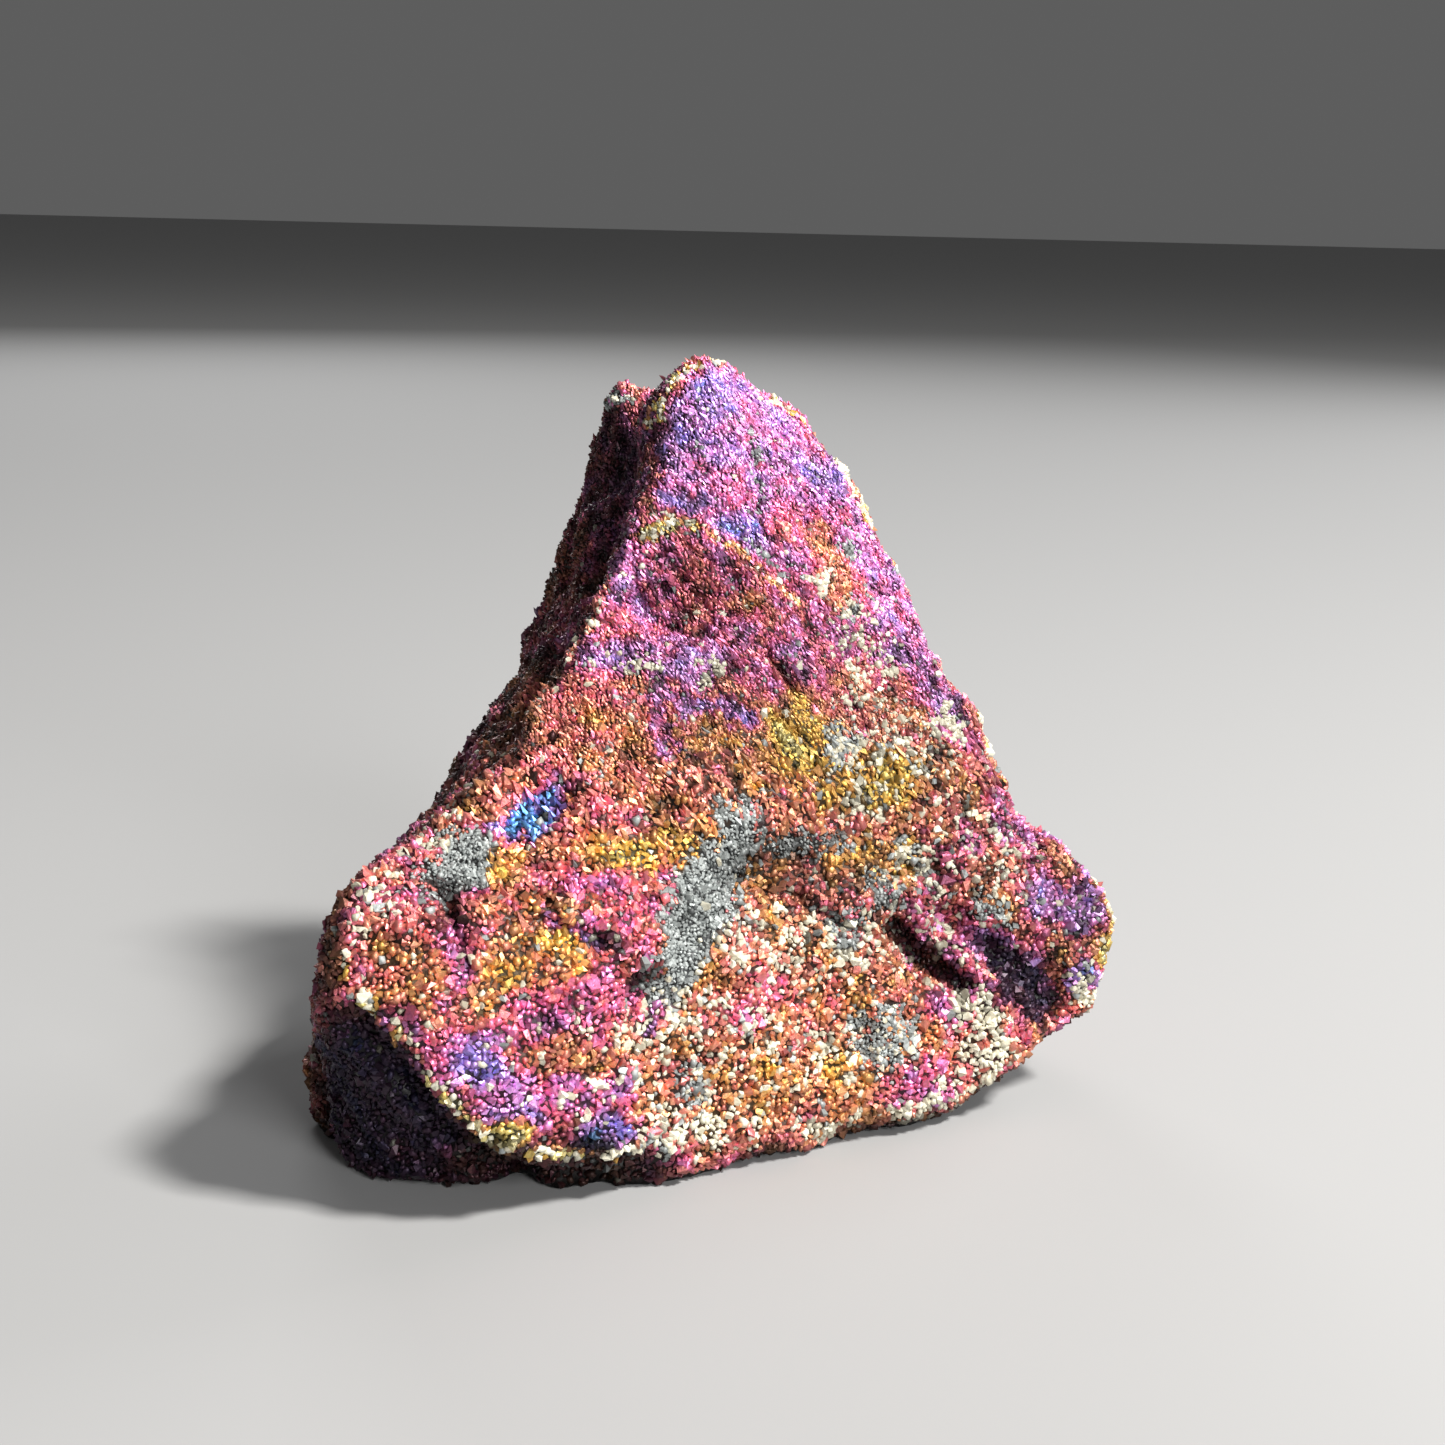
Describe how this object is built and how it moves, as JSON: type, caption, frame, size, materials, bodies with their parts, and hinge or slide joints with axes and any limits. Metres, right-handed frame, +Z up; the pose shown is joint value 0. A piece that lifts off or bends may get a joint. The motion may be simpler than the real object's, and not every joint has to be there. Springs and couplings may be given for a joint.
{
  "type": "peacock ore specimen",
  "caption": "Rough pyramid-shaped lump of tarnished copper sulphide ore with a broad broken face, undercut lower corner and grainy crystal surface, for display on a flat surface",
  "frame": {"origin": "centre of the bounding box in plan, at the level of the flat patch that the lump rests on", "axes": "+Z up; -Y is the side that the broad broken face looks to, and -X is the side of the undercut lower corner"},
  "size_m": [0.0744, 0.0676, 0.0679],
  "materials": {
    "tarnished_ore": "granular broken sulphide ore with a metallic film tarnished magenta, violet, blue, copper and gold, with pale and grey mineral grains"
  },
  "bodies": {
    "root": {"peacock_ore": "tarnished_ore"}
  },
  "joints": []
}
